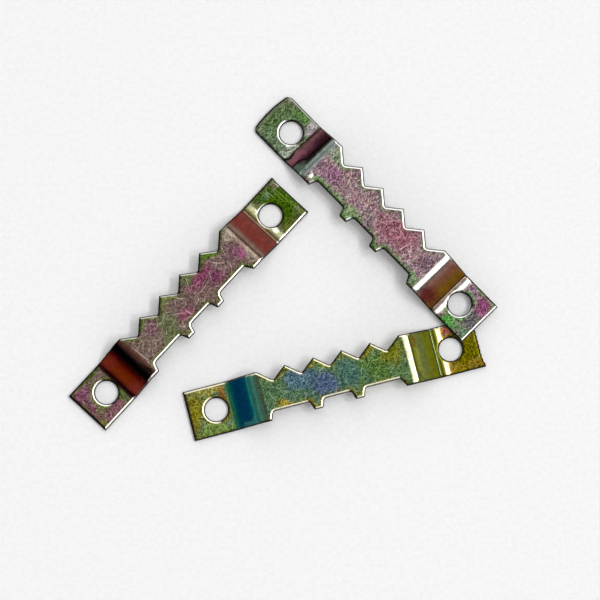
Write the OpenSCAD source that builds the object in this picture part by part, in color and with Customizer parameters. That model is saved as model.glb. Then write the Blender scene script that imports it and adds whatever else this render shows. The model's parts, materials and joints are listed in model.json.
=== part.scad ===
// Three sawtooth picture hangers, each stamped and bent from one strip of sheet steel.
// They lie as a loose set on a table: two flat, and one leaning with its tab on another's tab.
// Units are millimetres. X runs along the table, Y away from the viewer, Z up.

/* [Sheet and bends] */
// Thickness of the steel sheet
sheet = 0.8; // [0.5:0.05:1.2]
// Height of the middle strip's underside over the tabs' underside
rise = 2.4; // [1.2:0.1:4]
// Radius on the inside of every bend
bend_radius = 0.5; // [0.2:0.05:1]

/* [Hanger] */
// Length over both tabs
hanger_length = 45; // [38:0.5:60]
// Width of the tabs
tab_width = 7.6; // [6:0.1:10]
// Length of a tab from its end to the foot of its riser
tab_length = 6.7; // [6:0.1:8]
// Length of a riser, seen from above
riser_run = 3.5; // [2.5:0.1:5]

/* [Nail holes] */
// Diameter of the hole for the nail
hole_diameter = 3.5; // [2:0.1:4]
// Distance from the end of the tab to the middle of the hole
hole_from_end = 4.3; // [3:0.1:5]

/* [Sawtooth edge] */
// Distance from one notch to the next
notch_pitch = 4.4; // [3.5:0.1:4.8]
// Distance from the hanger's middle line to the tips of the teeth
tooth_reach = 3.9; // [3.5:0.05:5]
// Depth of a notch below the tips, down to the point where its flanks would meet
notch_depth = 1.8; // [1:0.05:2.2]
// Radius at the root of a notch
notch_radius = 0.3; // [0.1:0.05:0.5]

/* [Nubbed edge] */
// Depth of the bays between the nubs
bay_depth = 1.3; // [0.8:0.05:1.6]
// Distance from the middle line of one nub to that of the other
nub_spacing = 6.4; // [5:0.1:8]
// Width of a nub at its tip
nub_width = 1.4; // [1:0.1:2]
// How much each flank of a nub leans out from tip to root
nub_flare = 0.4; // [0.1:0.05:0.8]
// Radius on the corners of a nub
nub_radius = 0.3; // [0.1:0.05:0.5]
// Radius in the corners of the bays
bay_radius = 0.5; // [0.2:0.05:0.6]
// Distance from the hanger's middle to the shoulders that end the nubbed edge
shoulder_reach = 10.45; // [9:0.05:11]
// Run of the step at the first shoulder
first_step_run = 0.5; // [0.2:0.05:1]
// Run of the step at the second shoulder
second_step_run = 0.75; // [0.2:0.05:1]
// Radius in the corner of the second step
second_step_radius = 0.15; // [0.05:0.05:0.4]

/* [Places on the table] */
// Middle of the front hanger, to the right of the set's middle
front_x = 7.58; // [6:0.1:9]
// Middle of the front hanger, toward the viewer from the set's middle
front_y = 16.8; // [16:0.1:18]
// Angle of the front hanger
front_angle = 14.42; // [5:0.5:20]
// Middle of the left hanger, to the left of the set's middle
left_x = 14.25; // [14:0.1:17]
// Middle of the left hanger, toward the viewer from the set's middle
left_y = 5.37; // [3:0.1:6]
// Angle of the left hanger
left_angle = 47.29; // [40:0.5:55]
// Angle of the right hanger, whose first end is the one far from the viewer
right_angle = -45.77; // [-55:0.5:-40]
// From the front hanger's second hole to the right hanger's, along the front hanger
crossing_along = 3.02; // [2:0.1:4]
// From the front hanger's second hole to the right hanger's, across the front hanger
crossing_across = 6.22; // [5.8:0.1:6.6]
// Gap that keeps the two crossing tabs from touching
crossing_gap = 0.04; // [0.02:0.01:0.1]
// Radius to which the right hanger's first end has worn
worn_radius = 0.6; // [0.3:0.05:1]

/* [Hidden] */

// How far a cutting or joining piece runs past the faces that it meets
overrun = 0.05;
// Number of notches in the sawtooth edge, the middle one on the hanger's middle
NOTCHES = 5;
// Number of sides that a round piece is drawn with
ROUND = 48;

half_length = hanger_length / 2;
half_width = tab_width / 2;
// The plain edge at the bottom of the bays, from the hanger's middle line
bay_edge = half_width - bay_depth;
// The point where the flanks of a notch would meet, from the middle line
notch_root = tooth_reach - notch_depth;
flank_angle = atan2(notch_depth, notch_pitch / 2);
// The two shoulders of the sawtooth edge, half a tooth beyond the outer notches
tooth_shoulder = NOTCHES * notch_pitch / 2;
riser_foot = half_length - tab_length;
riser_head = riser_foot - riser_run;
riser_angle = atan2(rise, riser_run);
// The bends lie on a slant, so the underside bends a little nearer the middle than the top
bend_shift = sheet * tan(riser_angle / 2);
// How far the riser's slope runs on sideways where it is drawn on past a face by the overrun
riser_over = overrun * riser_run / rise;
strip_top = rise + sheet;
nub_root = nub_width / 2 + nub_flare;
nub_angle = atan2(bay_depth, nub_flare);
first_step_angle = atan2(bay_depth, first_step_run);
second_step_angle = atan2(bay_depth, second_step_run);

// Where the right hanger's near edge crosses the front hanger's far edge, measured back from
// the right hanger's second hole. The right hanger leans on that point.
cross_angle = front_angle - right_angle;
cross_drop = crossing_across - half_width;
cross_step = (half_width - cross_drop * cos(cross_angle)) / sin(cross_angle);
lean_reach = hanger_length - hole_from_end + cross_drop * sin(cross_angle) - cross_step * cos(cross_angle);
lean = asin((sheet + crossing_gap) / lean_reach);

hole_reach = half_length - hole_from_end;
front_hole_x = front_x + hole_reach * cos(front_angle);
front_hole_y = -front_y + hole_reach * sin(front_angle);
right_hole_x = front_hole_x + crossing_along * cos(front_angle) - crossing_across * sin(front_angle);
right_hole_y = front_hole_y + crossing_along * sin(front_angle) + crossing_across * cos(front_angle);
right_end_reach = (hanger_length - hole_from_end) * cos(lean);
right_end_x = right_hole_x - right_end_reach * cos(right_angle);
right_end_y = right_hole_y - right_end_reach * sin(right_angle);

plating_color = [0.55, 0.52, 0.30];
purple_color = [0.50, 0.42, 0.44];
green_color = [0.45, 0.52, 0.38];

function toward(angle) = [cos(angle), sin(angle)];

// The piece between a sharp corner and the arc that rounds it: taken away it rounds an outer
// corner, and added it fills an inner one. The angles are those of the two edges that leave it.
module corner_piece(corner, first, second, radius) {
    half = (second - first) / 2;
    middle = first + half;
    reach = radius / tan(half);
    centre = radius / sin(half) * toward(middle);
    translate(corner)
        difference() {
            polygon([-overrun * toward(middle), reach * toward(first), centre, reach * toward(second)]);
            translate(centre) circle(r = radius, $fn = ROUND);
        }
}

// One nub's tip and roots, seen from above, from its first root to its second
function nub_points(x) = [
    [x - nub_root, -bay_edge],
    [x - nub_width / 2, -half_width],
    [x + nub_width / 2, -half_width],
    [x + nub_root, -bay_edge],
];

// The sharp-cornered outline from above, round the nubbed edge and back along the teeth
function nubbed_edge() = concat(
    [[-half_length, -half_width], [-shoulder_reach, -half_width]],
    [[-shoulder_reach + first_step_run, -bay_edge]],
    nub_points(-nub_spacing / 2),
    nub_points(nub_spacing / 2),
    [[shoulder_reach - second_step_run, -bay_edge]],
    [[shoulder_reach, -half_width], [half_length, -half_width]]
);

function notch_x(i) = (i - (NOTCHES - 1) / 2) * notch_pitch;

function sawtooth_edge() = concat(
    [[half_length, half_width], [riser_foot, half_width], [tooth_shoulder, tooth_reach]],
    [for (i = [NOTCHES - 1:-1:0]) each [
        [notch_x(i), notch_root],
        [notch_x(i) - notch_pitch / 2, tooth_reach],
    ]],
    [[-riser_foot, half_width], [-half_length, half_width]]
);

module nub_roundings(x) {
    translate([x, -half_width]) {
        corner_piece([-nub_width / 2, 0], 0, 180 - nub_angle, nub_radius);
        corner_piece([nub_width / 2, 0], nub_angle, 180, nub_radius);
    }
}

module bay_fillings(x) {
    translate([x, -bay_edge]) {
        corner_piece([-nub_root, 0], 180, 360 - nub_angle, bay_radius);
        corner_piece([nub_root, 0], 180 + nub_angle, 360, bay_radius);
    }
}

module blank_outline(end_radius) {
    difference() {
        union() {
            polygon(concat(nubbed_edge(), sawtooth_edge()));
            for (i = [0:NOTCHES - 1])
                corner_piece([notch_x(i), notch_root], flank_angle, 180 - flank_angle, notch_radius);
            for (side = [-1, 1]) bay_fillings(side * nub_spacing / 2);
            corner_piece([-shoulder_reach + first_step_run, -bay_edge],
                180 + first_step_angle, 360, bay_radius);
            corner_piece([shoulder_reach - second_step_run, -bay_edge],
                180, 360 - second_step_angle, second_step_radius);
        }
        for (side = [-1, 1]) nub_roundings(side * nub_spacing / 2);
        for (side = [-1, 1])
            translate([side * hole_reach, 0]) circle(d = hole_diameter, $fn = ROUND);
        if (end_radius > 0) {
            corner_piece([-half_length, -half_width], 0, 90, end_radius);
            corner_piece([-half_length, half_width], -90, 0, end_radius);
        }
    }
}

// The air over one tab, seen from the side, with the inside of the lower bend rounded
module air_over_tab() {
    difference() {
        polygon([
            [riser_foot, sheet],
            [half_length + 2 * overrun, sheet],
            [half_length + 2 * overrun, strip_top + overrun],
            [riser_head - riser_over, strip_top + overrun],
        ]);
        corner_piece([riser_foot, sheet], 0, 180 - riser_angle, bend_radius);
    }
}

// The air under the middle strip, seen from the side, with the insides of the upper bends rounded
module air_under_strip() {
    foot = riser_foot - bend_shift + riser_over;
    head = riser_head - bend_shift;
    difference() {
        polygon([[-foot, -overrun], [-head, rise], [head, rise], [foot, -overrun]]);
        corner_piece([head, rise], -180, -riser_angle, bend_radius);
        corner_piece([-head, rise], -180 + riser_angle, 0, bend_radius);
    }
}

// The bent sheet seen from the side. Each bend has the same centre for its inside and outside.
module bent_profile() {
    outer = bend_radius + sheet;
    difference() {
        translate([-half_length - overrun, 0])
            square([hanger_length + 2 * overrun, strip_top]);
        air_over_tab();
        mirror([1, 0]) air_over_tab();
        air_under_strip();
        corner_piece([riser_head, strip_top], -180, -riser_angle, outer);
        corner_piece([-riser_head, strip_top], -180 + riser_angle, 0, outer);
        corner_piece([riser_foot - bend_shift, 0], 0, 180 - riser_angle, outer);
        corner_piece([-riser_foot + bend_shift, 0], riser_angle, 180, outer);
    }
}

// One hanger lying flat, its middle over the origin and its teeth toward +Y
module sawtooth_hanger(end_radius = 0) {
    intersection() {
        translate([0, 0, -overrun])
            linear_extrude(height = strip_top + 2 * overrun) blank_outline(end_radius);
        rotate([90, 0, 0])
            linear_extrude(height = 2 * (tooth_reach + overrun), center = true) bent_profile();
    }
}

module front_hanger() {
    color(plating_color)
        translate([front_x, -front_y, 0])
            rotate([0, 0, front_angle])
                sawtooth_hanger();
}

module left_hanger() {
    color(purple_color)
        translate([-left_x, -left_y, 0])
            rotate([0, 0, left_angle])
                sawtooth_hanger();
}

// Its first end touches the table, and its second tab rests on the front hanger's tab
module right_hanger() {
    color(green_color)
        translate([right_end_x, right_end_y, 0])
            rotate([0, 0, right_angle])
                rotate([0, -lean, 0])
                    translate([half_length, 0, 0])
                        sawtooth_hanger(worn_radius);
}

front_hanger();
left_hanger();
right_hanger();
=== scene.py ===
"""Three sawtooth picture hangers lying on white paper, stamped and bent from zinc-plated steel.

Each hanger is worked out in its own frame in millimetres: x along the strip from its middle,
y toward the teeth, z up from the tabs' underside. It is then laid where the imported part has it.
"""

import json

import bpy
import numpy as np
from mathutils import Matrix


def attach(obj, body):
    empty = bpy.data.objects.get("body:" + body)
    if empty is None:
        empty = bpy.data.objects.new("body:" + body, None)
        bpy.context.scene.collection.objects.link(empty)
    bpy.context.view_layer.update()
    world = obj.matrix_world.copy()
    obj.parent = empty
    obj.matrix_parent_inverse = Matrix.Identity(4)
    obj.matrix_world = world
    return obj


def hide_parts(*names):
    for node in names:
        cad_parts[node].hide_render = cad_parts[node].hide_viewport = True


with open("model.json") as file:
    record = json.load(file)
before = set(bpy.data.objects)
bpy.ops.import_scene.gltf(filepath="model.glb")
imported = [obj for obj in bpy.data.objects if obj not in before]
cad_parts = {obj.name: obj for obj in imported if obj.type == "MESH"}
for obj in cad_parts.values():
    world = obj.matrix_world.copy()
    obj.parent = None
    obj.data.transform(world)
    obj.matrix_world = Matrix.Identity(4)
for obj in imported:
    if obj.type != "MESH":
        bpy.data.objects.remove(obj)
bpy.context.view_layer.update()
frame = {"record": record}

# The front hanger
# One strip of 0.8 mm sheet steel, blanked with a sawtooth edge and two nubs, pierced at both
# ends for nails and pressed into a low bridge. The punch has rolled its upper edges. Its yellow
# passivated zinc has gone olive on the tabs, and teal and blue in the middle. It lies flat.

MM = 0.001

SHEET = 0.8
RISE = 2.4
HALF_LENGTH = 22.5
HALF_WIDTH = 3.8
RISER_FOOT = 15.8
RISER_HEAD = 12.3
INSIDE_BEND = 0.7
OUTSIDE_BEND = 1.7

HOLE_REACH = 18.2
HOLE_RADIUS = 1.75

TOOTH_REACH = 3.9
NOTCH_ROOT = 2.1
NOTCH_PITCH = 4.4
NOTCH_RADIUS = 0.3
NOTCHES = 5
BAY_EDGE = 2.5
NUB_PLACE = 3.2
NUB_HALF_TIP = 0.7
NUB_HALF_ROOT = 1.1
NUB_RADIUS = 0.3
BAY_RADIUS = 0.5
# The corners that the punch has left all but sharp, and the blunt ones at the risers' feet
SHARP_RADIUS = 0.08
BLUNT_RADIUS = 0.5
SHOULDER = 10.45
FIRST_STEP = 0.5
SECOND_STEP = 0.75
SECOND_STEP_RADIUS = 0.15

# Where a tab's round patch of mesh meets the strip's, just beyond the foot of the riser
SEAM = 16.1
# How far in from a punched edge the upper face is rolled down, and how deep it is at the edge
ROLL_WIDTH = 0.5
ROLL_DEPTH = 0.25
# The die has left a low hump across the second tab, beside the foot of its riser
HUMP_START = 15.95
HUMP_TOP = 16.5
HUMP_END = 17.5
HUMP_HEIGHT = 0.1
# The radius of the corners at a tab's end that has not worn
END_RADIUS = 0.05
# The rolled edges that face this way on the table, in degrees, are painted bright, as a highlight, and those
# that face away are painted dark, as shade
LIT_SIDE = 22
# How strongly that highlight is painted changes between these places, at a riser's head and at its foot
HEAD_START = 12.4
HEAD_END = 12.8
FOOT_START = 15.6
FOOT_END = 16.0
# How far in from a punched edge the rim's painted shade reaches, where it is dark, and its painted highlight,
# where it is bright
DARK_REACH = 0.23
BRIGHT_REACH = 0.39
# The very edge is painted dark, as shade along the outline, as far as the first distance, and that has faded
# at the second
EDGE_SHADE_START = 0.09
EDGE_SHADE_END = 0.22
# Two distances that differ by less than this count as the same
ROUNDING = 0.05


def rounded(corners, radii, steps=6):
    """A line of sharp corners with each turned into an arc. The arc's centre lies on the
    bisector, at radius / sin(half the corner's angle), and the arc swings evenly from the
    normal of one edge to that of the other."""
    corners = np.array(corners, float)
    radius = np.array(radii, float)[:, None]
    here = corners[1:-1]
    back = corners[:-2] - here
    ahead = corners[2:] - here
    back /= np.linalg.norm(back, axis=1)[:, None]
    ahead /= np.linalg.norm(ahead, axis=1)[:, None]
    middle = back + ahead
    middle /= np.linalg.norm(middle, axis=1)[:, None]
    half = np.arccos(np.clip((back * middle).sum(1), -1, 1))[:, None]
    centre = here + middle * radius / np.sin(half)
    first = (back * np.cos(half) - middle) / np.sin(half)
    last = (ahead * np.cos(half) - middle) / np.sin(half)
    swing = (np.pi - 2 * half)[:, None]
    share = np.linspace(0, 1, steps + 1)[None, :, None]
    arc = first[:, None] * np.sin((1 - share) * swing) + last[:, None] * np.sin(share * swing)
    arc = centre[:, None] + radius[:, None] * arc / np.sin(swing)
    line = np.concatenate([corners[:1], arc.reshape(-1, 2), corners[-1:]])
    apart = np.linalg.norm(np.diff(line, axis=0), axis=1) > 1e-6
    return line[np.append(True, apart)]


def nub(place):
    """The four corners of one nub, from one root over its tip to the other."""
    return [
        (place - NUB_HALF_ROOT, -BAY_EDGE),
        (place - NUB_HALF_TIP, -HALF_WIDTH),
        (place + NUB_HALF_TIP, -HALF_WIDTH),
        (place + NUB_HALF_ROOT, -BAY_EDGE),
    ]


def nubbed_edge():
    """The long edge with the two nubs, from end to end, by its corners and their radii."""
    corners = [(-HALF_LENGTH, -HALF_WIDTH), (-SHOULDER, -HALF_WIDTH), (FIRST_STEP - SHOULDER, -BAY_EDGE)]
    corners += nub(-NUB_PLACE) + nub(NUB_PLACE)
    corners += [(SHOULDER - SECOND_STEP, -BAY_EDGE), (SHOULDER, -HALF_WIDTH), (HALF_LENGTH, -HALF_WIDTH)]
    nub_radii = [BAY_RADIUS, NUB_RADIUS, NUB_RADIUS, BAY_RADIUS]
    return rounded(corners, [SHARP_RADIUS, BAY_RADIUS] + nub_radii * 2 + [SECOND_STEP_RADIUS, SHARP_RADIUS])


def toothed_edge():
    """The long edge with the teeth, from end to end, by its corners and their radii."""
    reach = NOTCHES * NOTCH_PITCH / 2
    roots = np.arange(NOTCHES) * NOTCH_PITCH - reach + NOTCH_PITCH / 2
    corners = [(-HALF_LENGTH, HALF_WIDTH), (-RISER_FOOT, HALF_WIDTH), (-reach, TOOTH_REACH)]
    radii = [BLUNT_RADIUS, SHARP_RADIUS]
    for root in roots:
        corners += [(root, NOTCH_ROOT), (root + NOTCH_PITCH / 2, TOOTH_REACH)]
        radii += [NOTCH_RADIUS, SHARP_RADIUS]
    corners += [(RISER_FOOT, HALF_WIDTH), (HALF_LENGTH, HALF_WIDTH)]
    return rounded(corners, radii + [BLUNT_RADIUS])


def bent(height, shift, outer_below):
    """One face of the bent sheet seen from the side, z as a function of x: flat, up the riser,
    flat, down and flat again. shift moves its bends toward the middle. outer_below puts the
    wide bends at the risers' feet, as on the underside, and not at their heads."""
    foot, head = RISER_FOOT - shift, RISER_HEAD - shift
    corners = [(-HALF_LENGTH - 1, height), (-foot, height), (-head, height + RISE)]
    corners += [(head, height + RISE), (foot, height), (HALF_LENGTH + 1, height)]
    low, high = (OUTSIDE_BEND, INSIDE_BEND) if outer_below else (INSIDE_BEND, OUTSIDE_BEND)
    return rounded(corners, [low, high, high, low], 12)


def crowded(count):
    """Shares from 0 to 1 that crowd toward both ends: half of one minus a cosine."""
    return (1 - np.cos(np.pi * np.linspace(0, 1, count))) / 2


def quads(rows, columns, first=0):
    """The faces of a grid whose points are numbered row after row."""
    corner = first + np.arange(rows - 1)[:, None] * columns + np.arange(columns - 1)
    corner = corner.ravel()
    return np.stack([corner, corner + 1, corner + columns + 1, corner + columns], 1)


def strip_grid(low, high):
    """The middle strip and both risers seen from above. One parameter is x. The other goes
    across from one long edge to the other, y = low(x) + share * (high(x) - low(x)), with the
    shares crowded toward both edges."""
    corners = np.concatenate([low[:, 0], high[:, 0]])
    corners = np.unique(np.round(corners[np.abs(corners) < SEAM], 4))
    even = np.linspace(-SEAM, SEAM, 300)
    # an even column that all but meets a corner is left out, so no face is a sliver
    clear = np.abs(even[:, None] - corners).min(1) > 0.03
    x = np.sort(np.concatenate([corners, even[clear]]))
    start, stop = np.interp(x, *low.T), np.interp(x, *high.T)
    share = crowded(39)[:, None]
    return np.stack([x + 0 * share, start + share * (stop - start)], -1)


def tab_grid(side, seam_y, worn):
    """One tab seen from above, as rings round its nail hole. One parameter goes round the hole
    and the other goes from the hole's rim out to the tab's edge, crowded toward both. worn is
    the radius of the end's two corners."""
    end = side * HALF_LENGTH
    seam = side * SEAM
    corners = [(seam, -HALF_WIDTH), (end, -HALF_WIDTH), (end, HALF_WIDTH), (seam, HALF_WIDTH)]
    edge = rounded(corners, [worn, worn], 8)
    reach = np.append(0, np.cumsum(np.linalg.norm(np.diff(edge, axis=0), axis=1)))
    stops = np.unique(np.round(np.concatenate([reach, np.linspace(0, reach[-1], 150)]), 5))
    edge = np.stack([np.interp(stops, reach, edge[:, 0]), np.interp(stops, reach, edge[:, 1])], 1)
    back = np.stack([np.full(len(seam_y), seam), seam_y[::-1]], 1)
    outer = np.concatenate([edge, back[1:]])
    hole = np.array([side * HOLE_REACH, 0])
    spoke = outer - hole
    inner = hole + HOLE_RADIUS * spoke / np.linalg.norm(spoke, axis=1)[:, None]
    return inner + crowded(24)[:, None, None] * (outer - inner)


def nearest_edge(points, lines):
    """How far each point lies from the nearest punched edge, over all the edges' segments and
    both holes, and the unit vector from the point toward that edge."""
    from_hole = points - np.sign(points[:, :1]) * np.array([HOLE_REACH, 0])
    radius = np.linalg.norm(from_hole, axis=1)
    nearest = np.abs(radius - HOLE_RADIUS)
    outward = -from_hole / radius[:, None]
    for line in lines:
        for start, stop in zip(line[:-1], line[1:]):
            along = stop - start
            share = np.clip((points - start) @ along / (along @ along), 0, 1)
            off = start + share[:, None] * along - points
            reach = np.linalg.norm(off, axis=1)
            closer = reach < nearest
            nearest = np.where(closer, reach, nearest)
            across = np.array([along[1], -along[0]]) / np.linalg.norm(along)
            facing = np.where(reach[:, None] > 1e-3, off / np.maximum(reach, 1e-6)[:, None], across)
            outward = np.where(closer[:, None], facing, outward)
    return nearest, outward


def hanger_shape(worn, unevenness):
    """One whole hanger: its outline from above as three grids, lifted to the bent sheet's upper
    and lower faces, and closed by walls along the outline and round the holes. worn is the
    radius of the first end's corners. unevenness(x, y) is how far the sheet lies from its true
    form, along x and upward. Gives the points, the faces, and each point's distance from the
    nearest punched edge and direction toward it."""
    low, high = nubbed_edge(), toothed_edge()
    strip = strip_grid(low, high)
    tabs = [tab_grid(-1, strip[:, 0, 1], worn), tab_grid(1, strip[:, -1, 1], END_RADIUS)]
    plan, faces = [], []
    for grid in (strip, *tabs):
        faces.append(quads(grid.shape[0], grid.shape[1], sum(map(len, plan))))
        plan.append(grid.reshape(-1, 2))
    plan, faces = np.concatenate(plan), np.concatenate(faces)

    # points on a seam belong to two grids, and become one
    _, kept, number = np.unique(np.round(plan, 4), axis=0, return_index=True, return_inverse=True)
    plan, faces = plan[kept], number.ravel()[faces]
    a, b, c, d = (plan[faces[:, i]] for i in range(4))
    area = np.cross(c - a, d - b)
    faces, area = faces[np.abs(area) > 1e-9], area[np.abs(area) > 1e-9]
    # every face of the upper side is turned to look up
    faces = np.where((area < 0)[:, None], faces[:, ::-1], faces)

    corners = np.array([(-HALF_LENGTH, HALF_WIDTH), (-HALF_LENGTH, -HALF_WIDTH)])
    distance, outward = nearest_edge(plan, [low, high[::-1], corners, -corners])
    fall = 1 - np.clip(distance / ROLL_WIDTH, 0, 1)
    roll = ROLL_DEPTH * (1 - np.sqrt(1 - fall ** 2))
    climb = np.clip((plan[:, 0] - HUMP_START) / (HUMP_TOP - HUMP_START), 0, 1)
    fall_back = np.clip((HUMP_END - plan[:, 0]) / (HUMP_END - HUMP_TOP), 0, 1)
    hump = HUMP_HEIGHT * climb ** 2 * (3 - 2 * climb) * fall_back ** 2 * (3 - 2 * fall_back)
    upper = np.interp(plan[:, 0], *bent(SHEET, 0, False).T) - roll + hump
    slope = np.arctan2(RISE, RISER_FOOT - RISER_HEAD)
    lower = np.interp(plan[:, 0], *bent(0, SHEET * np.tan(slope / 2), True).T)

    # an edge that only one face uses is on the outline, and carries a wall
    edges = np.concatenate([faces[:, [i, (i + 1) % 4]] for i in range(4)])
    edges = edges[edges[:, 0] != edges[:, 1]]
    pair = np.sort(edges, axis=1)
    _, index, count = np.unique(pair, axis=0, return_index=True, return_counts=True)
    rim = edges[index[count == 1]]
    total = len(plan)
    walls = np.stack([rim[:, 0], rim[:, 0] + total, rim[:, 1] + total, rim[:, 1]], 1)
    stretch, lift = unevenness(plan[:, 0], plan[:, 1])
    plan = plan + np.stack([stretch, 0 * stretch], 1)
    points = np.concatenate([np.column_stack([plan, upper + lift]), np.column_stack([plan, lower + lift])])
    faces = np.concatenate([faces, faces[:, ::-1] + total, walls])
    return points, faces, np.tile(distance, 2), np.tile(outward, (2, 1))


def hanger_place(name):
    """The hanger's own frame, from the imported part's nail holes: x runs from the first hole to
    the second, z is their axis, and the origin is halfway, on the underside."""
    mounts = {mount["name"]: mount for mount in frame["record"]["mounts"]}
    first, second = (mounts[f"{name}_{which}_nail_hole"] for which in ("first", "second"))
    start, stop = np.array(first["pos_m"]), np.array(second["pos_m"])
    along = (stop - start) / np.linalg.norm(stop - start)
    up = np.array(first["axis"])
    up = up - along * (up @ along)
    up /= np.linalg.norm(up)
    place = np.eye(4)
    place[:3, :3] = np.stack([along, np.cross(up, along), up], 1)
    place[:3, 3] = (start + stop) / 2 - up * SHEET * MM / 2
    return place


def edge_highlight_share(x, y, distance, outward, shares, bays, holes):
    """How strongly each point of a rolled edge is painted bright, as a highlight, from 0 to 1; where it
    is low the rim is painted dark, as shade. It rises smoothly as the edge turns to face the lit side.
    shares scale it on the first tab, the risers, the teeth, the second tab and that tab's end. bays is
    how much narrower the bright part is along the edge with the nubs. holes gives the same for the two
    holes' rims, each as (share, the lit side in degrees, how much narrower the bright part is)."""
    first, riser, teeth, second, end = shares
    places = np.array([HEAD_START, HEAD_END, FOOT_START, FOOT_END])
    end_places = [HALF_LENGTH - ROLL_WIDTH, HALF_LENGTH - ROLL_WIDTH / 2]
    places = np.concatenate([-places[::-1], places, end_places])
    share = np.interp(x, places, [first, riser, riser, 1, 1, riser, riser, second, second, end])
    share = share * np.where((np.abs(x) < HEAD_START) & (y > 0), teeth, 1)
    side, narrower = LIT_SIDE, np.where((np.abs(x) < SHOULDER) & (y < 0), bays, 0)
    from_hole = np.hypot(np.abs(x) - HOLE_REACH, y) - HOLE_RADIUS
    for sign, rim in zip((-1, 1), holes):
        # the nearest punched edge is the hole's own rim, to within a rounding
        here = (from_hole < distance + ROUNDING) & (x * sign > 0)
        share = np.where(here, rim[0], share)
        side = np.where(here, rim[1], side)
        narrower = np.where(here, rim[2], narrower)
    side = np.radians(side)
    facing = outward[:, 0] * np.cos(side) + outward[:, 1] * np.sin(side)
    bright = np.clip((facing - narrower + 0.2) / 0.35, 0, 1)
    return bright ** 2 * (3 - 2 * bright) * share


def hanger(name, material, worn, unevenness, shares, bays, holes):
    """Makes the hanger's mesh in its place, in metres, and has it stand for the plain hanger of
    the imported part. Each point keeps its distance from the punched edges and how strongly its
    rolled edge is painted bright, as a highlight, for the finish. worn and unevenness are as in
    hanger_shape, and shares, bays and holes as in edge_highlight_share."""
    points, faces, distance, outward = hanger_shape(worn, unevenness)
    place = hanger_place(name)
    outward = outward @ place[:2, :2].T
    highlit = edge_highlight_share(points[:, 0], points[:, 1], distance, outward, shares, bays, holes)
    points = points * MM @ place[:3, :3].T + place[:3, 3]
    mesh = bpy.data.meshes.new(f"{name}_stamping")
    mesh.from_pydata(points, [], faces.tolist())
    mesh.validate()
    mesh.polygons.foreach_set("use_smooth", np.ones(len(mesh.polygons), bool))
    mesh.set_sharp_from_angle(angle=np.radians(50))
    for key, values in (("edge_distance", distance), ("edge_highlight", highlit)):
        layer = mesh.attributes.new(key, "FLOAT", "POINT")
        layer.data.foreach_set("value", values.astype(np.float32))
    mesh.materials.append(material)
    piece = bpy.data.objects.new(f"{name}_stamping", mesh)
    bpy.context.scene.collection.objects.link(piece)
    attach(piece, name)
    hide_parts(f"{name}_hanger")


def tint(code):
    """A screen colour such as "6F504B" as the linear red, green and blue that Blender mixes."""
    screen = np.array([int(code[i:i + 2], 16) for i in (0, 2, 4)]) / 255
    linear = np.where(screen <= 0.04045, screen / 12.92, ((screen + 0.055) / 1.055) ** 2.4)
    return (*linear, 1)


def put(tree, kind, inputs, **settings):
    """Adds a node. An input is a value, or another node's output, which is linked to it."""
    made = tree.nodes.new(f"ShaderNode{kind}")
    for key, value in settings.items():
        setattr(made, key, value)
    for key, value in inputs.items():
        if isinstance(value, bpy.types.NodeSocket):
            tree.links.new(value, made.inputs[key])
        else:
            made.inputs[key].default_value = value
    return made


def reckon(tree, operation, a, b=0.0):
    """One sum of two numbers, such as ADD or MULTIPLY."""
    return put(tree, "Math", {0: a, 1: b}, operation=operation).outputs[0]


def mixed(tree, share, a, b, blend="MIX"):
    """Colour b over colour a."""
    return put(tree, "Mix", {0: share, 6: a, 7: b}, data_type="RGBA", blend_type=blend).outputs[2]


def ease(tree, value, start, stop, low=0.0, high=1.0):
    """Goes smoothly from low to high while the value goes from start to stop."""
    limits = {"Value": value, "From Min": start, "From Max": stop, "To Min": low, "To Max": high}
    return put(tree, "MapRange", limits, interpolation_type="SMOOTHSTEP").outputs[0]


def noise(tree, where, scale, detail=2.0, roughness=0.5, distortion=0.0):
    """Cloudy noise, with its scale in cells to the millimetre."""
    inputs = {"Vector": where, "Scale": scale, "Detail": detail, "Roughness": roughness}
    return put(tree, "TexNoise", inputs | {"Distortion": distortion})


def moved(tree, where, shift=(0, 0, 0), turn=0.0, stretch=(1, 1, 1)):
    """The coordinates seen from a frame at shift, turned and stretched."""
    inputs = {"Vector": where, "Location": shift, "Rotation": (0, 0, np.radians(turn)), "Scale": stretch}
    return put(tree, "Mapping", inputs, vector_type="TEXTURE").outputs[0]


def wobble(tree, where, scale, reach):
    """The coordinates pushed about by noise, up to half of reach each way, in millimetres."""
    push = noise(tree, where, scale, 3).outputs[1]
    push = put(tree, "VectorMath", {0: push, 1: (0.5, 0.5, 0.5)}, operation="SUBTRACT").outputs[0]
    push = put(tree, "VectorMath", {0: push, 1: (reach, reach, reach)}, operation="MULTIPLY").outputs[0]
    return put(tree, "VectorMath", {0: where, 1: push}, operation="ADD").outputs[0]


def colour_scale(tree, value, start, stop, colours):
    """A scale of colours for a value between start and stop, each stop as (value, colour)."""
    share = put(tree, "MapRange", {"Value": value, "From Min": start, "From Max": stop}).outputs[0]
    ramp = put(tree, "ValToRGB", {0: share})
    stops = ramp.color_ramp.elements
    stops.remove(stops[1])
    for i, (at, colour) in enumerate(colours):
        at = (at - start) / (stop - start)
        mark = stops.new(at) if i else stops[0]
        mark.position = at
        mark.color = colour
    return ramp


def bowed_line(tree, off, curl, half_width, half_length):
    """1 on a line that runs along x for half_length each way, and 0 beside it. The line is bowed
    by the rule across = curl * along ** 2."""
    off = put(tree, "SeparateXYZ", {0: off}).outputs
    bow = reckon(tree, "MULTIPLY", reckon(tree, "MULTIPLY", off[0], off[0]), curl)
    beside = reckon(tree, "ABSOLUTE", reckon(tree, "SUBTRACT", off[1], bow))
    line = ease(tree, beside, half_width * 0.4, half_width, 1, 0)
    length = ease(tree, reckon(tree, "ABSOLUTE", off[0]), half_length * 0.6, half_length, 1, 0)
    return reckon(tree, "MULTIPLY", line, length)


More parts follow.
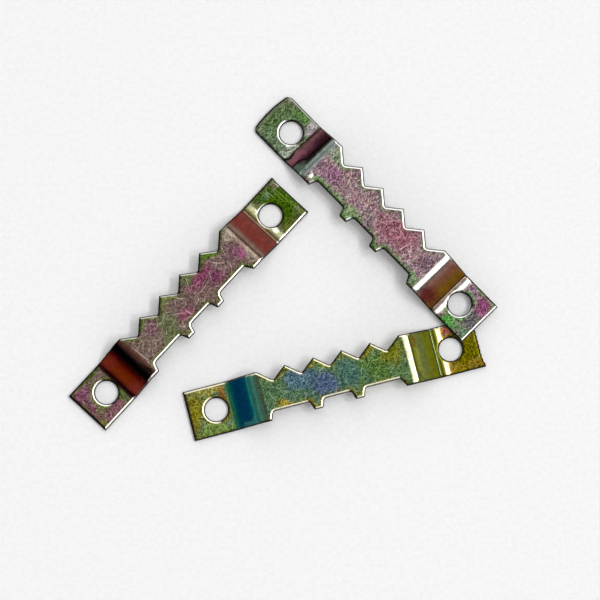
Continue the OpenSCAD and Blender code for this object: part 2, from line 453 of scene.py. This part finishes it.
def scratches(tree, where, scale, half_width, curl, turn, spread, seed):
    """Short bowed lines, one to each cell of a Voronoi pattern, turned by chance within the
    spread of angles about turn, in degrees, and some fainter than others."""
    here = moved(tree, where, (seed * 7.3, seed * 3.1, 0))
    cell = put(tree, "TexVoronoi", {"Vector": here, "Scale": scale}, voronoi_dimensions="2D")
    chance = put(tree, "SeparateColor", {0: cell.outputs["Color"]}).outputs
    off = put(tree, "VectorMath", {0: here, 1: cell.outputs["Position"]}, operation="SUBTRACT").outputs[0]
    angle = reckon(tree, "MULTIPLY", reckon(tree, "SUBTRACT", chance[0], 0.5), np.radians(spread))
    angle = reckon(tree, "SUBTRACT", angle, np.radians(turn))
    off = put(tree, "VectorRotate", {"Vector": off, "Angle": angle}, rotation_type="Z_AXIS").outputs[0]
    curl = reckon(tree, "MULTIPLY", reckon(tree, "SUBTRACT", chance[1], 0.5), curl)
    line = bowed_line(tree, off, curl, half_width, 0.65 / scale)
    return reckon(tree, "MULTIPLY", line, ease(tree, chance[2], 0, 0.7, 0.2, 1))


def blotted(tree, where, colour, blots):
    """Blots of other tints over a colour, each (tint, x, y, half length, half width, strength).
    Noise makes their borders grainy."""
    grains = noise(tree, where, 2.4, 4, 0.7).outputs[0]
    grains = reckon(tree, "MULTIPLY", reckon(tree, "SUBTRACT", grains, 0.5), 1.8)
    for code, x, y, long, wide, strength in blots:
        reach = moved(tree, where, (x, y, 0), 0, (long, wide, 1000))
        reach = put(tree, "VectorMath", {0: reach}, operation="LENGTH").outputs["Value"]
        reach = reckon(tree, "ADD", reach, grains)
        colour = mixed(tree, ease(tree, reach, 0.45, 1.3, strength, 0), colour, tint(code))
    return colour


def plating(name, ground, stains_and_sheen, bands, blots_and_painted_light, marks, scuffs, rims, seed, crease_shade=()):
    """Iridescent zinc plating, with painted light. ground: three tints that cloud the flat faces.
    stains: blots of other tints on them, as in blotted, a few of them painted sheen. bands: tints
    across the strip, each (x, tint, strength): the risers' iridescent tints, with painted highlights
    and painted dark reflections in the bends. burns: blots over the bands, some of them painted
    highlights and painted dark reflections. marks: single long scratches, each (x, y, degrees, half
    length, half width, curl). scuffs: the fine scratches' mean angle and their spread, in degrees,
    the strengths of the dense short ones and of the sparse long ones, the grain's cells to the
    millimetre and its darkest shade. rims: the tint that has pooled along the edges, then the
    painted shade of the rolled edges where they face away from the light, and their painted
    highlight where they face it. seed: which part of the noise is used. creases: single dark
    lines over the bands, painted shade where the sheet is creased, given as marks are."""
    material = bpy.data.materials.new(f"{name}_iridescent_zinc")
    material.use_nodes = True
    tree = material.node_tree
    shader = tree.nodes["Principled BSDF"]

    place = Matrix(hanger_place(name).tolist())
    inputs = {
        "Vector": put(tree, "TexCoord", {}).outputs["Object"],
        "Location": place.translation,
        "Rotation": place.to_euler(),
        "Scale": (MM, MM, MM),
    }
    where = put(tree, "Mapping", inputs, vector_type="TEXTURE").outputs[0]
    ragged = wobble(tree, wobble(tree, wobble(tree, where, 0.45, 2.6), 1.6, 1.1), 5, 0.45)
    edge = put(tree, "Attribute", {}, attribute_name="edge_distance").outputs["Fac"]

    # clouds of the three ground tints
    other = moved(tree, where, (seed * 11, seed * 5, 0))
    cloud = noise(tree, other, 0.5, 4, 0.6, 0.8).outputs[0]
    colour = mixed(tree, ease(tree, cloud, 0.38, 0.6), tint(ground[0]), tint(ground[1]))
    grain = noise(tree, other, 2.6, 3, 0.65, 0.6).outputs[0]
    colour = mixed(tree, ease(tree, grain, 0.42, 0.62), colour, tint(ground[2]))

    # olive pooled along the punched edges, under the blots of tint
    pooled = ease(tree, edge, 0.3, 1.1, 0.95, 0)
    pooled = reckon(tree, "MULTIPLY", pooled, ease(tree, noise(tree, other, 0.8, 3).outputs[0], 0.35, 0.55))
    colour = mixed(tree, pooled, colour, tint(rims[0]))
    colour = blotted(tree, ragged, colour, stains_and_sheen)

    # fine light and dark grain, and the curly scratches of hangers tumbled together
    mean_turn, spread, dense, sparse, cells, darkest = scuffs
    fine = noise(tree, other, cells, 3, 0.7).outputs[0]
    shade = ease(tree, fine, 0.32, 0.68, darkest, 0.95)
    shade = put(tree, "CombineColor", {0: shade, 1: shade, 2: shade}).outputs[0]
    curly = wobble(tree, other, 2.2, 0.35)
    web = 0
    layers = [
        (0.4, 0.8, sparse), (0.6, 1.4, sparse), (0.9, 2.2, sparse),
        (1.3, 3.2, dense), (1.6, 4.0, dense), (1.9, 5.0, dense),
    ]
    for i, (scale, curl, strength) in enumerate(layers):
        lines = scratches(tree, curly, scale, 0.055, curl, mean_turn, spread, i + 1)
        web = reckon(tree, "MAXIMUM", web, reckon(tree, "MULTIPLY", lines, strength))
    web = reckon(tree, "MULTIPLY", web, ease(tree, noise(tree, other, 2.4, 2).outputs[0], 0.38, 0.58, 0.4, 1))
    loose = wobble(tree, where, 1.2, 0.3)
    for x, y, turn, half_length, half_width, curl in marks:
        off = moved(tree, loose, (x, y, 0), turn)
        web = reckon(tree, "MAXIMUM", web, bowed_line(tree, off, curl, half_width, half_length))
    pale = put(tree, "Gamma", {"Color": colour, "Gamma": 0.5}).outputs[0]
    pale = mixed(tree, 0.55, mixed(tree, 1.0, colour, (0.9, 0.9, 0.9, 1), "MULTIPLY"), pale, "ADD")
    colour = mixed(tree, web, mixed(tree, 1.0, colour, shade, "MULTIPLY"), pale)

    # bands across the strip, mottled a little: the risers' iridescent tints, with painted highlights and
    # painted dark reflections in the bends; then blots of tint and painted highlights over them, and dark
    # lines of painted shade
    across = put(tree, "SeparateXYZ", {0: wobble(tree, where, 1.5, 0.25)}).outputs[0]
    mottle = ease(tree, noise(tree, other, 1.4, 4, 0.7).outputs[0], 0.3, 0.7, 0.78, 1.16)
    mottle = put(tree, "CombineColor", {0: mottle, 1: mottle, 2: mottle}).outputs[0]
    banded = 0
    for side in (-1, 1):
        stops = [(x * side, (*tint(code)[:3], share)) for x, code, share in bands[::side] if x * side > 0]
        ramp = colour_scale(tree, reckon(tree, "MULTIPLY", across, side), 0, HALF_LENGTH, stops)
        colour = mixed(tree, ramp.outputs[1], colour, mixed(tree, 1.0, ramp.outputs[0], mottle, "MULTIPLY"))
        banded = reckon(tree, "ADD", banded, ramp.outputs[1])
    colour = blotted(tree, ragged, colour, blots_and_painted_light)
    # painted shade: dark lines where the sheet is creased
    for x, y, turn, half_length, half_width, curl in crease_shade:
        off = moved(tree, loose, (x, y, 0), turn)
        colour = mixed(tree, bowed_line(tree, off, curl, half_width, half_length), colour, tint("140C0C"))

    # the rolled edges: a painted highlight where they face the lit side, and painted shade where they face
    # away
    highlit = put(tree, "Attribute", {}, attribute_name="edge_highlight").outputs["Fac"]
    rim = mixed(tree, highlit, tint(rims[1]), tint(rims[2]))
    reach = ease(tree, highlit, 0, 1, DARK_REACH, BRIGHT_REACH)
    on_rim = ease(tree, reckon(tree, "SUBTRACT", edge, reach), -0.12, 0.02, 1, 0)
    on_rim = reckon(tree, "MULTIPLY", on_rim, ease(tree, grain, 0.3, 0.5, 0.75, 1))
    colour = mixed(tree, on_rim, colour, rim)
    # painted shade: a thin dark line along the very edge
    colour = mixed(tree, ease(tree, edge, EDGE_SHADE_START, EDGE_SHADE_END, 0.9, 0), colour, tint("140E0A"))

    # the bands, the risers' tints with their painted highlights and dark reflections, are smoother than the
    # flats, and the scratches rougher
    smooth = ease(tree, banded, 0.2, 0.8, 0.34, 0.2)
    rough = reckon(tree, "ADD", smooth, reckon(tree, "MULTIPLY", web, 0.1))
    strength = ease(tree, banded, 0.2, 0.8, 0.5, 0.06)
    bump = put(tree, "Bump", {"Strength": strength, "Distance": 0.00002, "Height": fine})
    tree.links.new(colour, shader.inputs["Base Color"])
    tree.links.new(rough, shader.inputs["Roughness"])
    tree.links.new(bump.outputs[0], shader.inputs["Normal"])
    shader.inputs["Metallic"].default_value = 1
    shader.inputs["Specular Tint"].default_value = (0.9, 0.9, 0.9, 1)
    return material


front_stains = [
    ("6E6400", -21.2, 0.5, 1.4, 3.0, 0.95),
    ("8E883A", -19.0, 3.0, 2.6, 0.9, 0.9),
    ("627A32", -18.8, -2.9, 2.8, 1.1, 0.9),
    ("8A5A20", -17.0, 2.3, 0.9, 1.0, 0.8),
    ("42603C", -9.5, 0.5, 2.2, 2.4, 0.8),
    ("3E5A6E", -4.9, 1.4, 2.8, 1.8, 0.85),
    ("3C4A70", -1.6, -0.4, 2.2, 1.8, 0.85),
    ("365A50", 2.3, 0.6, 2.2, 2.4, 0.8),
    ("425E22", 6.6, 0.2, 2.8, 2.6, 0.9),
    ("5C5E00", 9.8, 1.6, 2.2, 2.0, 0.9),
    ("466434", 10.0, -1.6, 1.6, 1.0, 0.8),
    ("8C7820", -8.0, -1.9, 1.6, 0.7, 0.9),
    ("7A7418", -3.2, 2.9, 1.0, 0.7, 0.8),
    ("7A7418", 5.8, 2.9, 1.2, 0.8, 0.8),
    ("504A00", 20.6, -0.5, 2.8, 4.0, 1.0),
    ("8A3E34", 18.0, 2.9, 1.3, 1.0, 0.95),
    ("6E5A00", 18.6, -2.9, 2.4, 0.9, 0.9),
    ("6A5408", 21.7, -3.2, 1.5, 1.0, 0.95),
]
# the risers' iridescent tints; the near-white stops at the second riser's head and beyond its foot are
# painted highlights, and the darkest stops at the first end and in the first riser's bends are painted dark
# reflections
front_bands = [
    (-22.5, "382820", 0.9), (-22.1, "4A3828", 0.6), (-21.9, "6A6418", 0.0),
    (-16.4, "4A6A3C", 0.0), (-16.0, "456B46", 0.8), (-15.75, "388664", 1.0), (-15.5, "084C4A", 1.0),
    (-15.0, "003547", 1.0), (-14.5, "01304C", 1.0), (-13.4, "01344E", 1.0), (-13.0, "024857", 1.0),
    (-12.7, "247470", 1.0), (-12.45, "489A88", 1.0), (-12.2, "489078", 1.0), (-11.9, "32635A", 1.0),
    (-11.5, "36543F", 0.9), (-11.2, "3C4C38", 0.8), (-10.95, "283428", 0.8), (-10.7, "485446", 0.0),
    (11.4, "7C8C50", 0.0), (11.58, "F4F2D0", 1.0), (12.0, "E8E6A4", 1.0), (12.25, "E4E090", 1.0),
    (12.42, "5A5C34", 1.0), (12.7, "767C1E", 1.0), (13.15, "888A3C", 1.0), (13.6, "6E742E", 1.0),
    (14.5, "6A702A", 1.0), (15.0, "6B6E0A", 1.0), (15.5, "6A6D14", 1.0), (15.75, "48563A", 1.0),
    (16.2, "727618", 0.9), (16.5, "7C7618", 0.9), (16.66, "8C8430", 1.0), (16.8, "F4F0B4", 1.0),
    (17.0, "F0E890", 1.0), (17.25, "E0C488", 0.95), (17.45, "A88048", 0.7), (17.9, "8A6030", 0.0),
]
front_burns = [
    ("6A4A1A", 12.9, 3.0, 0.5, 1.2, 0.8),
    ("4C6454", 13.7, 0.6, 0.4, 3.4, 0.5),
    ("34504A", 12.9, -3.0, 0.4, 1.0, 0.6),
    ("3A7868", -13.6, -3.2, 1.2, 0.6, 0.5),
]
front_marks = [
    (-1.2, 2.0, 35, 0.9, 0.1, 0.1),
    (7.0, 1.2, 15, 1.0, 0.08, 0.1),
    (-9.6, -0.4, -60, 1.0, 0.07, 0.2),
    (4.4, 0.4, 70, 0.8, 0.07, -0.3),
]


def front_unevenness(x, y):
    """The second tab's end was torn rather than cut: it is ragged, by a sum of two waves, and its
    near corner is drawn out and up, as a bump that falls off round it."""
    corner = np.exp(-((x - HALF_LENGTH) ** 2 + (y + HALF_WIDTH) ** 2) / 0.8 ** 2)
    end = np.clip((x - HALF_LENGTH) / 0.5 + 1, 0, 1) ** 2
    ragged = 0.035 * np.sin(9 * y) + 0.03 * np.sin(17 * y + 1)
    return 0.3 * corner + ragged * end, 0.12 * corner


front_ground = ("4C6636", "3E5C50", "46603C")
front_finish = plating(
    "front", front_ground, front_stains, front_bands, front_burns, front_marks,
    scuffs=(0, 360, 0.75, 1.0, 2.8, 0.2), rims=("6E6A10", "3E2812", "FFF8DC"), seed=1)
hanger(
    "front", front_finish, SHARP_RADIUS, front_unevenness, shares=(1, 0.25, 0.9, 0.5, 0),
    bays=-0.3, holes=((0.9, LIT_SIDE, 0), (0.1, LIT_SIDE, 0)))

# The left hanger
# The same stamping from the same tools. Its passivation is mostly purple and brown, with olive
# along the punched edges and a green second tab. It lies flat, apart from the other two.

left_stains_and_sheen = [
    ("783C5A", -21.3, 2.5, 1.8, 1.1, 0.8),
    ("703050", -21.3, -0.6, 0.7, 2.0, 0.7),
    ("80485A", -19.2, -2.9, 2.4, 0.8, 0.65),
    ("6A6428", -21.6, -3.0, 1.0, 1.0, 0.9),
    ("606028", -20.6, -1.4, 0.9, 0.6, 0.6),
    ("466420", -16.7, -1.8, 0.8, 0.9, 0.8),
    ("78685A", -8.2, 0.0, 2.2, 2.4, 0.7),
    ("5C6640", -4.4, 0.0, 1.8, 2.0, 0.8),
    ("74465C", -6.8, 1.2, 1.5, 0.9, 0.6),
    ("5C6A3C", -5.6, -1.3, 1.3, 0.8, 0.7),
    ("78384E", -1.7, -0.8, 1.4, 1.0, 0.8),
    ("742E50", 3.8, 1.3, 2.6, 1.2, 0.85),
    ("6C2E50", 5.6, -0.6, 1.6, 1.2, 0.8),
    ("58643C", 3.0, 2.8, 1.8, 0.8, 0.8),
    ("6C7040", -2.4, 2.7, 1.6, 0.9, 0.7),
    ("4A6A14", 7.4, 2.9, 1.8, 0.8, 0.95),
    ("664050", 10.4, 0.0, 1.6, 1.8, 0.6),
    ("8C3E66", 11.0, -0.7, 0.7, 1.0, 0.7),
    # these two pale blots at the second riser's head are painted sheen, the bend's silvery reflection
    ("A09A80", 11.8, -2.0, 0.9, 1.0, 0.8),
    ("A8A08C", 11.8, 2.4, 1.0, 1.0, 0.8),
    ("304C02", 20.3, 0.0, 2.9, 4.6, 1.0),
    ("325214", 19.4, 2.8, 1.8, 1.0, 0.9),
    ("586650", 20.1, 2.4, 0.8, 0.5, 0.7),
    ("525A18", 19.0, -2.9, 1.8, 0.8, 0.8),
]
# the risers' iridescent tints; the near-black stops at the first end and in the first riser's bends are
# painted dark reflections, and the pale stops beyond the second riser's foot are painted sheen
left_bands = [
    (-22.5, "1C1410", 1.0), (-22.2, "241A14", 0.8), (-22.0, "6A5048", 0.0),
    (-16.5, "5A4038", 0.0), (-16.2, "2A1813", 1.0), (-15.95, "140605", 1.0), (-15.7, "36090A", 1.0),
    (-15.4, "561A0A", 1.0), (-14.9, "6D2709", 1.0), (-14.3, "622004", 1.0), (-13.8, "561505", 1.0),
    (-13.4, "400503", 1.0), (-12.95, "180303", 1.0), (-12.7, "060505", 1.0), (-11.85, "060505", 1.0),
    (-11.6, "301C19", 1.0), (-11.2, "46281E", 0.9), (-10.85, "54372D", 0.8), (-10.5, "78665A", 0.0),
    (11.4, "806660", 0.0), (11.8, "8C766C", 0.5), (12.25, "76665A", 0.6), (12.45, "6C5448", 0.7),
    (12.7, "8C6C60", 0.8), (13.0, "846454", 0.9), (13.3, "744640", 1.0), (13.7, "7E3830", 1.0),
    (14.7, "7C3A32", 1.0), (15.4, "7B443C", 1.0), (15.65, "744038", 1.0), (15.9, "6E5842", 0.9),
    (16.15, "786C48", 0.9), (16.35, "948860", 0.9), (16.6, "84865E", 0.8), (17.3, "8C9070", 0.8),
    (17.55, "80865C", 0.7), (17.85, "6A704A", 0.0),
]
# blots of tint, except the near-black one at the first riser's head, a painted dark reflection, and the
# near-white ones, painted highlights
left_blots_and_painted_light = [
    ("140C0A", -11.6, -2.5, 0.5, 1.6, 0.9),
    ("6C2420", -14.7, 3.0, 1.2, 0.9, 0.5),
    ("762C2A", -14.6, -2.9, 1.2, 0.8, 0.5),
    ("E0DECC", 16.8, 1.9, 0.3, 0.8, 0.6),
    ("E0DECC", 16.9, -2.3, 0.3, 0.8, 0.6),
    ("F0F0E4", 22.4, 2.9, 0.13, 0.4, 0.9),
    ("ECECE0", 11.4, 3.8, 0.9, 0.2, 0.9),
]
left_marks = [
    (21.6, -0.2, 91, 3.6, 0.07, 0.0),
    (21.2, 1.4, 88, 1.8, 0.06, 0.0),
    (20.5, 2.2, 92, 1.3, 0.07, 0.02),
    (20.1, 2.6, 89, 1.0, 0.06, 0.0),
    (21.9, -1.6, 90, 1.4, 0.06, 0.0),
    (-10.45, -0.2, 94, 1.9, 0.1, 0.05),
    (-0.55, 1.6, -58, 1.5, 0.09, 0.12),
    (-2.0, -0.2, -38, 1.3, 0.09, -0.1),
    (-1.0, -1.0, -80, 0.7, 0.14, 0.0),
    (7.3, 0.9, -52, 1.5, 0.08, 0.1),
    (3.2, -0.3, 5, 0.9, 0.08, 0.3),
    (3.0, 0.9, 8, 0.8, 0.08, -0.4),
    (1.0, -1.0, 15, 0.7, 0.08, 0.2),
    (-4.4, 1.0, 20, 1.2, 0.07, 0.2),
]


def left_unevenness(x, y):
    """A small burr stands up at the far corner of the second tab, a bump that falls off round it."""
    burr = np.exp(-((x - HALF_LENGTH) / 0.25) ** 2 - ((y - 3.5) / 0.4) ** 2)
    return 0.1 * burr, 0.12 * burr


left_ground = ("685050", "5E4644", "786458")
left_finish = plating(
    "left", left_ground, left_stains_and_sheen, left_bands, left_blots_and_painted_light, left_marks,
    scuffs=(0, 150, 0.5, 1.0, 2.8, 0.22), rims=("50601C", "1E1A10", "FFFFF4"), seed=2)
hanger(
    "left", left_finish, SHARP_RADIUS, left_unevenness, shares=(1, 0.2, 0.65, 1, 0.1),
    bays=0, holes=((0.9, LIT_SIDE, 0), (0.6, LIT_SIDE, 0)))

# The right hanger
# The same stamping with a worn first end. Its middle is pink and its tabs are green and grey.
# Its second tab lies on the front hanger's, so it leans by about one degree.

right_stains = [
    ("485E3A", -19.6, 0.0, 4.2, 5.0, 1.0),
    ("42582E", -21.4, 0.0, 1.6, 3.8, 0.9),
    ("426229", -18.8, 2.9, 2.6, 1.1, 0.9),
    ("566A4A", -18.8, -2.9, 2.6, 1.1, 0.9),
    ("A0989C", -16.5, 2.6, 1.0, 1.3, 0.9),
    ("8F9988", -16.2, -2.2, 1.1, 1.8, 0.9),
    ("6E7D64", -10.8, 2.2, 1.4, 1.1, 0.8),
    ("5A7D44", -10.6, -2.6, 1.2, 0.8, 0.7),
    ("6A8054", -4.6, -2.2, 3.6, 0.9, 0.9),
    ("5F8048", -3.2, -3.2, 1.2, 0.9, 0.9),
    ("4A7030", 3.2, -3.2, 1.0, 0.8, 0.9),
    ("843C50", 4.0, 0.6, 4.0, 2.4, 0.6),
    ("744662", -9.2, -0.3, 1.8, 1.3, 0.8),
    ("6C505E", -5.5, 3.0, 2.6, 0.9, 0.7),
    ("6A4E5A", 0.0, 3.0, 2.8, 0.9, 0.7),
    ("6C4A58", 5.5, 3.0, 3.0, 0.9, 0.7),
    ("604658", 10.6, 0.6, 1.0, 1.8, 0.7),
    ("5A7A50", 10.6, -2.6, 1.4, 0.9, 0.8),
    ("4E843E", 18.4, 0.0, 2.7, 2.7, 0.7),
    ("7C6074", 17.8, 3.0, 2.0, 0.8, 0.9),
    ("723358", 21.0, 2.0, 1.5, 1.7, 0.95),
    ("3A822B", 19.0, -2.9, 2.0, 0.9, 0.9),
    ("48484A", 21.2, -0.6, 1.0, 1.4, 0.95),
    ("486648", 21.3, -2.7, 1.0, 1.0, 0.95),
]
# the risers' iridescent tints; the near-white stops at the second riser's head and beyond its foot are
# painted highlights, and the near-black and grey-blue stops at the first riser's head are painted dark and
# bright reflections
right_bands = [
    (-22.5, "A0A088", 0.3), (-22.0, "606850", 0.0),
    (-15.85, "8A8981", 0.0), (-15.7, "6A504E", 1.0), (-15.5, "624746", 1.0), (-15.2, "86595C", 1.0),
    (-14.7, "6E4550", 1.0), (-14.35, "663A48", 1.0), (-14.1, "522A39", 1.0), (-13.8, "482431", 1.0),
    (-13.5, "2B1218", 1.0), (-13.1, "1C1612", 1.0), (-12.95, "3E443A", 1.0), (-12.7, "849288", 1.0),
    (-12.4, "BCCCC4", 1.0), (-12.15, "96A49C", 1.0), (-11.9, "6C716F", 0.9), (-11.6, "76696E", 0.0),
    (11.5, "8A7E76", 0.0), (11.7, "F4F0EC", 1.0), (12.3, "F4F0EC", 1.0), (12.5, "A49A90", 1.0),
    (12.8, "8A6860", 1.0), (13.2, "8C6455", 1.0), (13.6, "7E503D", 1.0), (14.2, "774E2C", 1.0),
    (14.8, "745414", 1.0), (15.4, "724C0E", 1.0), (15.62, "584634", 1.0), (15.85, "5E5648", 1.0),
    (16.1, "7C6860", 1.0), (16.28, "F4F0EC", 1.0), (16.8, "F4F0EC", 1.0), (16.95, "908A86", 0.9),
    (17.25, "7A6E6B", 0.0),
]
# blots of tint, except the near-white ones and the pink one on the first riser, painted highlights, and the
# near-black one at that riser's foot, a painted dark reflection
right_blots_and_painted_light = [
    ("5A1C22", 14.1, -2.7, 1.9, 1.5, 0.85),
    ("F4F4E8", -11.3, -2.4, 0.5, 0.7, 0.9),
    ("96606A", -14.9, -2.2, 0.5, 1.6, 0.7),
    ("2C1018", -14.1, 2.6, 0.9, 1.5, 0.7),
    ("5C6E60", -13.4, -2.9, 0.6, 1.1, 0.9),
    ("F0F4EC", -17.35, -1.6, 0.2, 0.24, 0.9),
    ("120C0C", -15.75, -3.1, 0.2, 1.0, 0.9),
]
right_marks = [
    (-6.6, 0.9, -70, 0.8, 0.09, 0.2),
    (6.3, -0.2, 80, 0.9, 0.1, 0.1),
]
# dark lines of painted shade where the first riser is creased
right_crease_shade = [
    (-15.65, 0.9, 86, 3.1, 0.13, 0.0),
    (-15.6, -2.1, -72, 0.9, 0.13, 0.0),
    (-15.75, -3.2, 55, 0.8, 0.14, 0.0),
    (-13.45, 1.2, 86, 3.1, 0.2, 0.0),
    (-13.9, -1.85, 66, 0.9, 0.18, 0.0),
    (-14.1, -2.9, 94, 0.9, 0.16, 0.0),
]


def right_unevenness(x, y):
    """The first end has worn out into a bow, one minus the square of the share across the tab,
    which fades out toward the nail hole."""
    beyond = np.clip((-x - HOLE_REACH - HOLE_RADIUS) / (HALF_LENGTH - HOLE_REACH - HOLE_RADIUS), 0, 1)
    return -0.42 * (1 - (y / HALF_WIDTH) ** 2) * beyond ** 2, 0 * x


right_ground = ("7C525E", "665260", "92807A")
right_finish = plating(
    "right", right_ground, right_stains, right_bands, right_blots_and_painted_light, right_marks,
    scuffs=(90, 110, 1.0, 0.9, 3.0, 0.16), rims=("4E6A38", "141010", "F6F4F0"), seed=3,
    crease_shade=right_crease_shade)
hanger(
    "right", right_finish, 0.75, right_unevenness, shares=(0.6, 0.2, 1, 0.1, 1),
    bays=0, holes=((0.9, LIT_SIDE, 0), (0.9, 95, 0.4)))

# The paper
# A sheet of white paper under the hangers. Its faint tooth shows only as a soft mottling.

paper_mesh = bpy.data.meshes.new("paper")
paper_half = 3
paper_corners = [(-1, -1, 0), (1, -1, 0), (1, 1, 0), (-1, 1, 0)]
paper_corners = [tuple(paper_half * side for side in corner) for corner in paper_corners]
paper_mesh.from_pydata(paper_corners, [], [(0, 1, 2, 3)])
paper = bpy.data.objects.new("paper", paper_mesh)
bpy.context.scene.collection.objects.link(paper)
white = bpy.data.materials.new("white_paper")
white.use_nodes = True
tree = white.node_tree
grain = moved(tree, put(tree, "TexCoord", {}).outputs["Object"], (0, 0, 0), 0, (MM, MM, MM))
fibres = noise(tree, grain, 0.45, 6, 0.7).outputs[0]
tooth = put(tree, "Bump", {"Strength": 0.45, "Distance": 0.0001, "Height": fibres})
flecks = noise(tree, grain, 1.6, 3, 0.7).outputs[0]
shade = mixed(tree, ease(tree, flecks, 0.25, 0.75), tint("F0F0F0"), tint("F7F7F7"))
shader = tree.nodes["Principled BSDF"]
tree.links.new(shade, shader.inputs["Base Color"])
shader.inputs["Roughness"].default_value = 0.9
shader.inputs["Specular IOR Level"].default_value = 0.1
tree.links.new(tooth.outputs[0], shader.inputs["Normal"])
paper_mesh.materials.append(white)

# The lamps
# Two lamps from the right throw the short crisp shadows, and a larger, weaker one stands behind.
# The room, which the bends and rims mirror, is brightest overhead, a little to the right and
# behind, and dim in a ring round that.


def lamp(name, azimuth, elevation, distance, size, power):
    """A square lamp that looks at the middle of the set. The angles are in degrees, the distance
    and the lamp's side in metres, and its power in watts."""
    turn, rise = np.radians(azimuth), np.radians(elevation)
    away = np.array([np.cos(turn) * np.cos(rise), np.sin(turn) * np.cos(rise), np.sin(rise)])
    data = bpy.data.lights.new(name, "AREA")
    data.size = size
    data.energy = power
    source = bpy.data.objects.new(name, data)
    bpy.context.scene.collection.objects.link(source)
    side = np.cross((0, 0, 1), away)
    side /= np.linalg.norm(side)
    turned = np.eye(4)
    turned[:3, :3] = np.stack([side, np.cross(away, side), away], 1)
    turned[:3, 3] = away * distance
    source.matrix_world = Matrix(turned.tolist())


lamp("key_lamp", -25, 62, 1.5, 0.12, 2.9)
lamp("second_lamp", 11, 62, 1.5, 0.12, 2.5)
lamp("far_lamp", 90, 45, 1.5, 0.25, 1.3)

room = bpy.data.worlds.new("room")
bpy.context.scene.world = room
room.use_nodes = True
tree = room.node_tree
toward = put(tree, "TexCoord", {}).outputs["Generated"]
plan = put(tree, "VectorMath", {0: toward, 1: (1, 1, 0)}, operation="MULTIPLY").outputs[0]


def rings(centre, reach, levels):
    """The light's level by how far a direction, seen from above, lies from a centre."""
    off = put(tree, "VectorMath", {0: plan, 1: centre}, operation="SUBTRACT").outputs[0]
    off = put(tree, "VectorMath", {0: off}, operation="LENGTH").outputs["Value"]
    levels = [(at, (level, level, level, 1)) for at, level in levels]
    return colour_scale(tree, off, 0, reach, levels).outputs[0]


glow = rings((0.13, 0.12, 0), 1.4, [(0, 3.0), (0.28, 2.9), (0.4, 1.2), (0.52, 0.4), (0.75, 0.3), (1.3, 0.28)])
# the camera shades the light straight above the set
camera_shade = rings((0, 0.05, 0), 0.5, [(0, 0.28), (0.13, 0.32), (0.25, 1), (0.5, 1)])
overhead = mixed(tree, 1.0, glow, camera_shade, "MULTIPLY")
height = put(tree, "SeparateXYZ", {0: toward}).outputs[2]
# the room's walls by height: pale at the floor, dark above that, and then pale again
wall = [(0, 0.9), (0.06, 0.9), (0.12, 0.3), (0.2, 0.3), (0.27, 1.1), (0.45, 1.1), (1, 1.1)]
wall = [(at, (bright, bright, bright, 1)) for at, bright in wall]
wall = colour_scale(tree, height, 0, 1, wall).outputs[0]
level = mixed(tree, ease(tree, height, 0.42, 0.5), wall, overhead)
background = tree.nodes["Background"]
tree.links.new(level, background.inputs["Color"])
background.inputs["Strength"].default_value = 1.0

# The camera
# It looks almost straight down from half a metre, leaning back toward the viewer by 4 degrees.

view = bpy.data.cameras.new("camera")
view.sensor_width = 36
view.lens = 198.64
camera = bpy.data.objects.new("camera", view)
bpy.context.scene.collection.objects.link(camera)
camera.matrix_world = Matrix((
    (0.999986, 0.000399, 0.005285, 0.005175),
    (0.0, 0.997166, -0.075229, -0.042355),
    (-0.0053, 0.075228, 0.997152, 0.498576),
    (0, 0, 0, 1),
))
bpy.context.scene.camera = camera
bpy.context.scene.view_settings.view_transform = "Standard"
